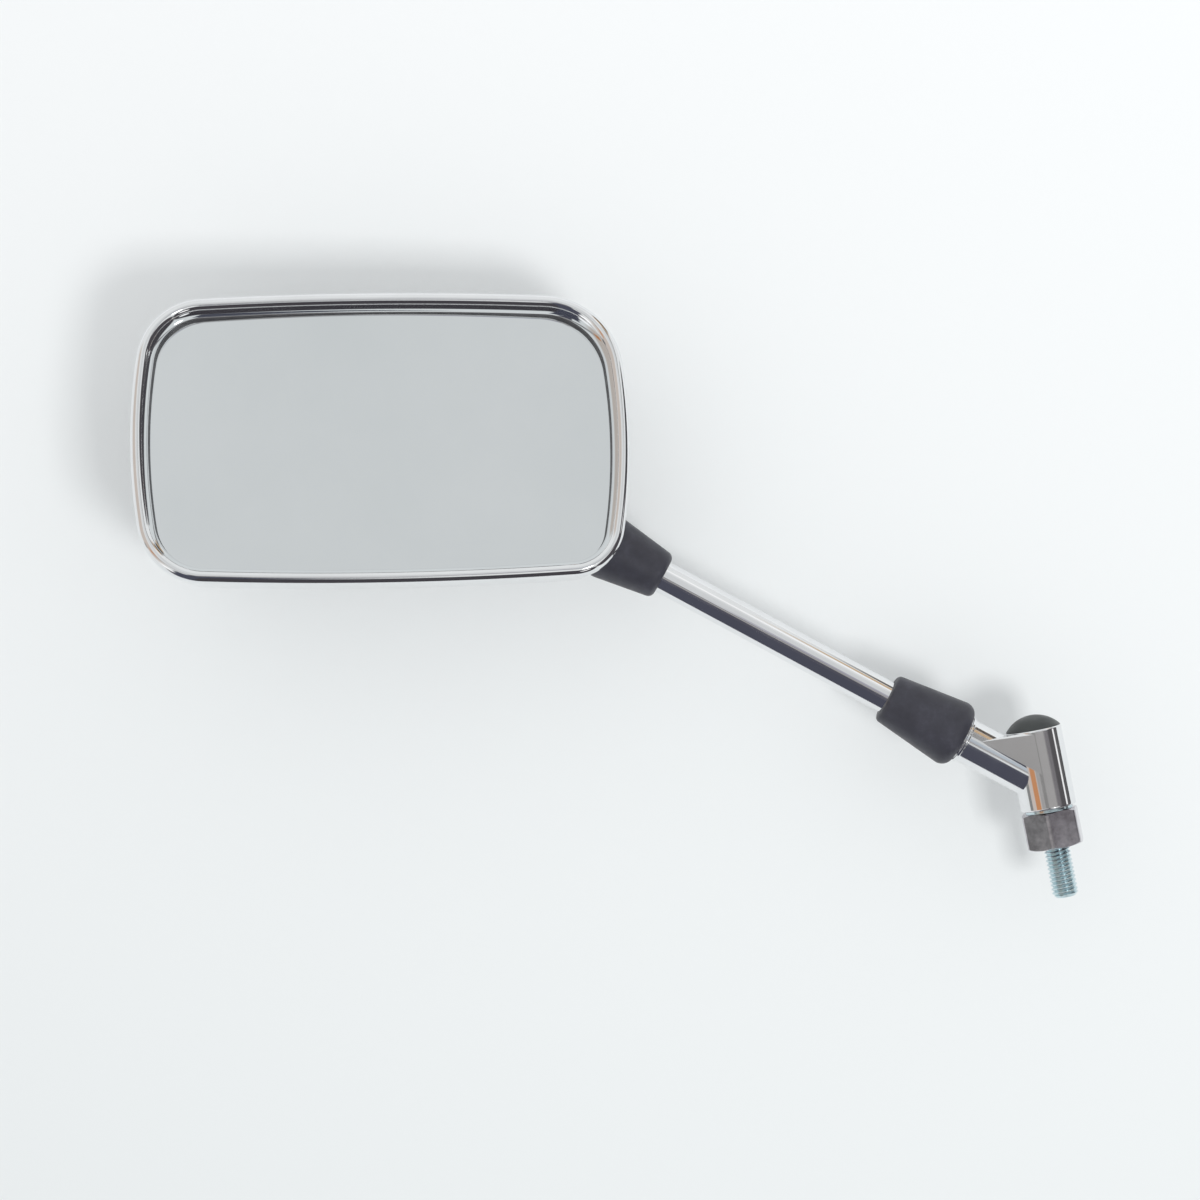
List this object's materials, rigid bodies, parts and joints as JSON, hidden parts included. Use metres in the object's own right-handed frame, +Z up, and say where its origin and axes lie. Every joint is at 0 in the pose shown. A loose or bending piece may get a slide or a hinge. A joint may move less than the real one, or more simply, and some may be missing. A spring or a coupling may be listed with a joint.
{
  "type": "motorcycle_mirror",
  "caption": "Chromed rectangular handlebar mirror: ball-jointed head with rubber neck boot, straight stem, rubber nut cover, swivelling elbow and threaded stud.",
  "frame": {"origin": "centre of the hexagon's underside, where the mirror seats on the handlebar's boss", "axes": "+Z up along the stud's axis, away from the thread; the stem rises toward -X; the glass looks toward -Y"},
  "size_m": [0.2592, 0.0637, 0.2263],
  "materials": {
    "chrome_plate": "polished",
    "mirror_face": "silvered glass",
    "black_rubber": "matt",
    "black_plastic": "satin",
    "zinc_steel": "zinc plated",
    "spring_steel": "oiled",
    "bush_brass": "plain",
    "white_nylon": "natural",
    "grey_foam": "open foam"
  },
  "bodies": {
    "base": {"stud_bolt": "zinc_steel", "base_nut": "chrome_plate", "thrust_washer": "zinc_steel", "pivot_washers": "zinc_steel", "disc_springs": "spring_steel"},
    "arm": {"arm_casting": "chrome_plate", "pivot_bush": "bush_brass", "barrel_cap": "black_plastic", "lock_washer": "zinc_steel", "lock_nut": "zinc_steel"},
    "cover": {"nut_cover": "black_rubber"},
    "stem": {"mirror_stem": "chrome_plate"},
    "boot": {"neck_boot": "black_rubber"},
    "liner": {"ball_liner": "white_nylon"},
    "head": {"housing": "chrome_plate", "bezel": "chrome_plate", "glass_gasket": "black_rubber", "mirror_glass": "mirror_face", "glass_pad": "grey_foam", "backing_plate": "zinc_steel", "socket_bracket": "zinc_steel", "clamp_plate": "zinc_steel", "clamp_screws": "zinc_steel", "clamp_springs": "spring_steel", "clamp_nuts": "zinc_steel"}
  },
  "joints": [
    {"name": "base_swivel", "type": "hinge", "parent": "base", "child": "arm", "pos_m": [0, 0, 0.0199], "axis": [0, 0, 1], "continuous": true},
    {"name": "stem_turn", "type": "hinge", "parent": "arm", "child": "stem", "pos_m": [0, 0, 0.0199], "axis": [-0.7716, 0, 0.6361], "range_deg": [-90, 90]},
    {"name": "cover_slide", "type": "slide", "parent": "stem", "child": "cover", "axis": [-0.7716, 0, 0.6361], "range_m": [0, 0.03]},
    {"name": "head_swivel", "type": "hinge", "parent": "stem", "child": "boot", "pos_m": [-0.12655, 0, 0.12422], "axis": [-0.7716, 0, 0.6361], "continuous": true},
    {"name": "head_tilt", "type": "hinge", "parent": "boot", "child": "liner", "pos_m": [-0.12655, 0, 0.12422], "axis": [0.6361, 0, 0.7716], "range_deg": [-12, 12], "deforming": ["neck_boot"]},
    {"name": "head_spin", "type": "hinge", "parent": "liner", "child": "head", "pos_m": [-0.12655, 0, 0.12422], "axis": [-0.7716, 0, 0.6361], "continuous": true}
  ]
}
